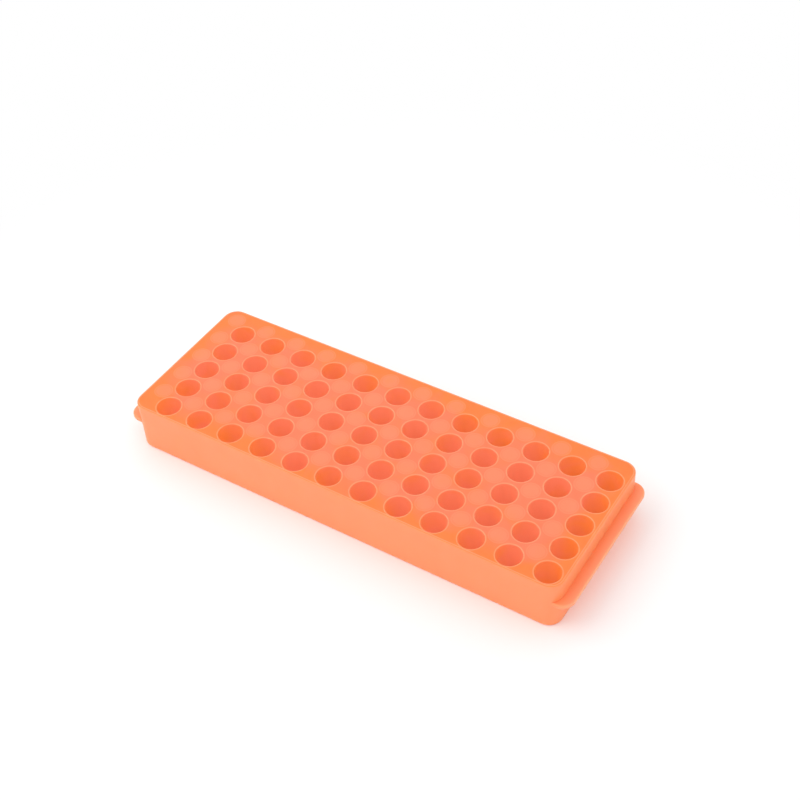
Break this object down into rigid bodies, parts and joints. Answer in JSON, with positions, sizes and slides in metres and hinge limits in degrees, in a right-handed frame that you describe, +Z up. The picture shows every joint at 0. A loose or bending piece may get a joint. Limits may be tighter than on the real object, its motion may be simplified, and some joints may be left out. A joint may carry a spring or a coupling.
{
  "type": "microcentrifuge tube rack",
  "caption": "Long low rack with round blind wells in its deck for microcentrifuge tubes, narrower wells in its underside, and a lifting lip at each end.",
  "frame": {"origin": "centre of the underside, midway between the grid of wide wells and the grid of narrow ones", "axes": "+X along the rack to the right, +Y to its back, +Z up from the underside to the deck"},
  "size_m": [0.2266, 0.077, 0.025],
  "materials": {
    "orange_polypropylene": "satin"
  },
  "bodies": {
    "root": {"tube_rack": "orange_polypropylene"}
  },
  "joints": []
}
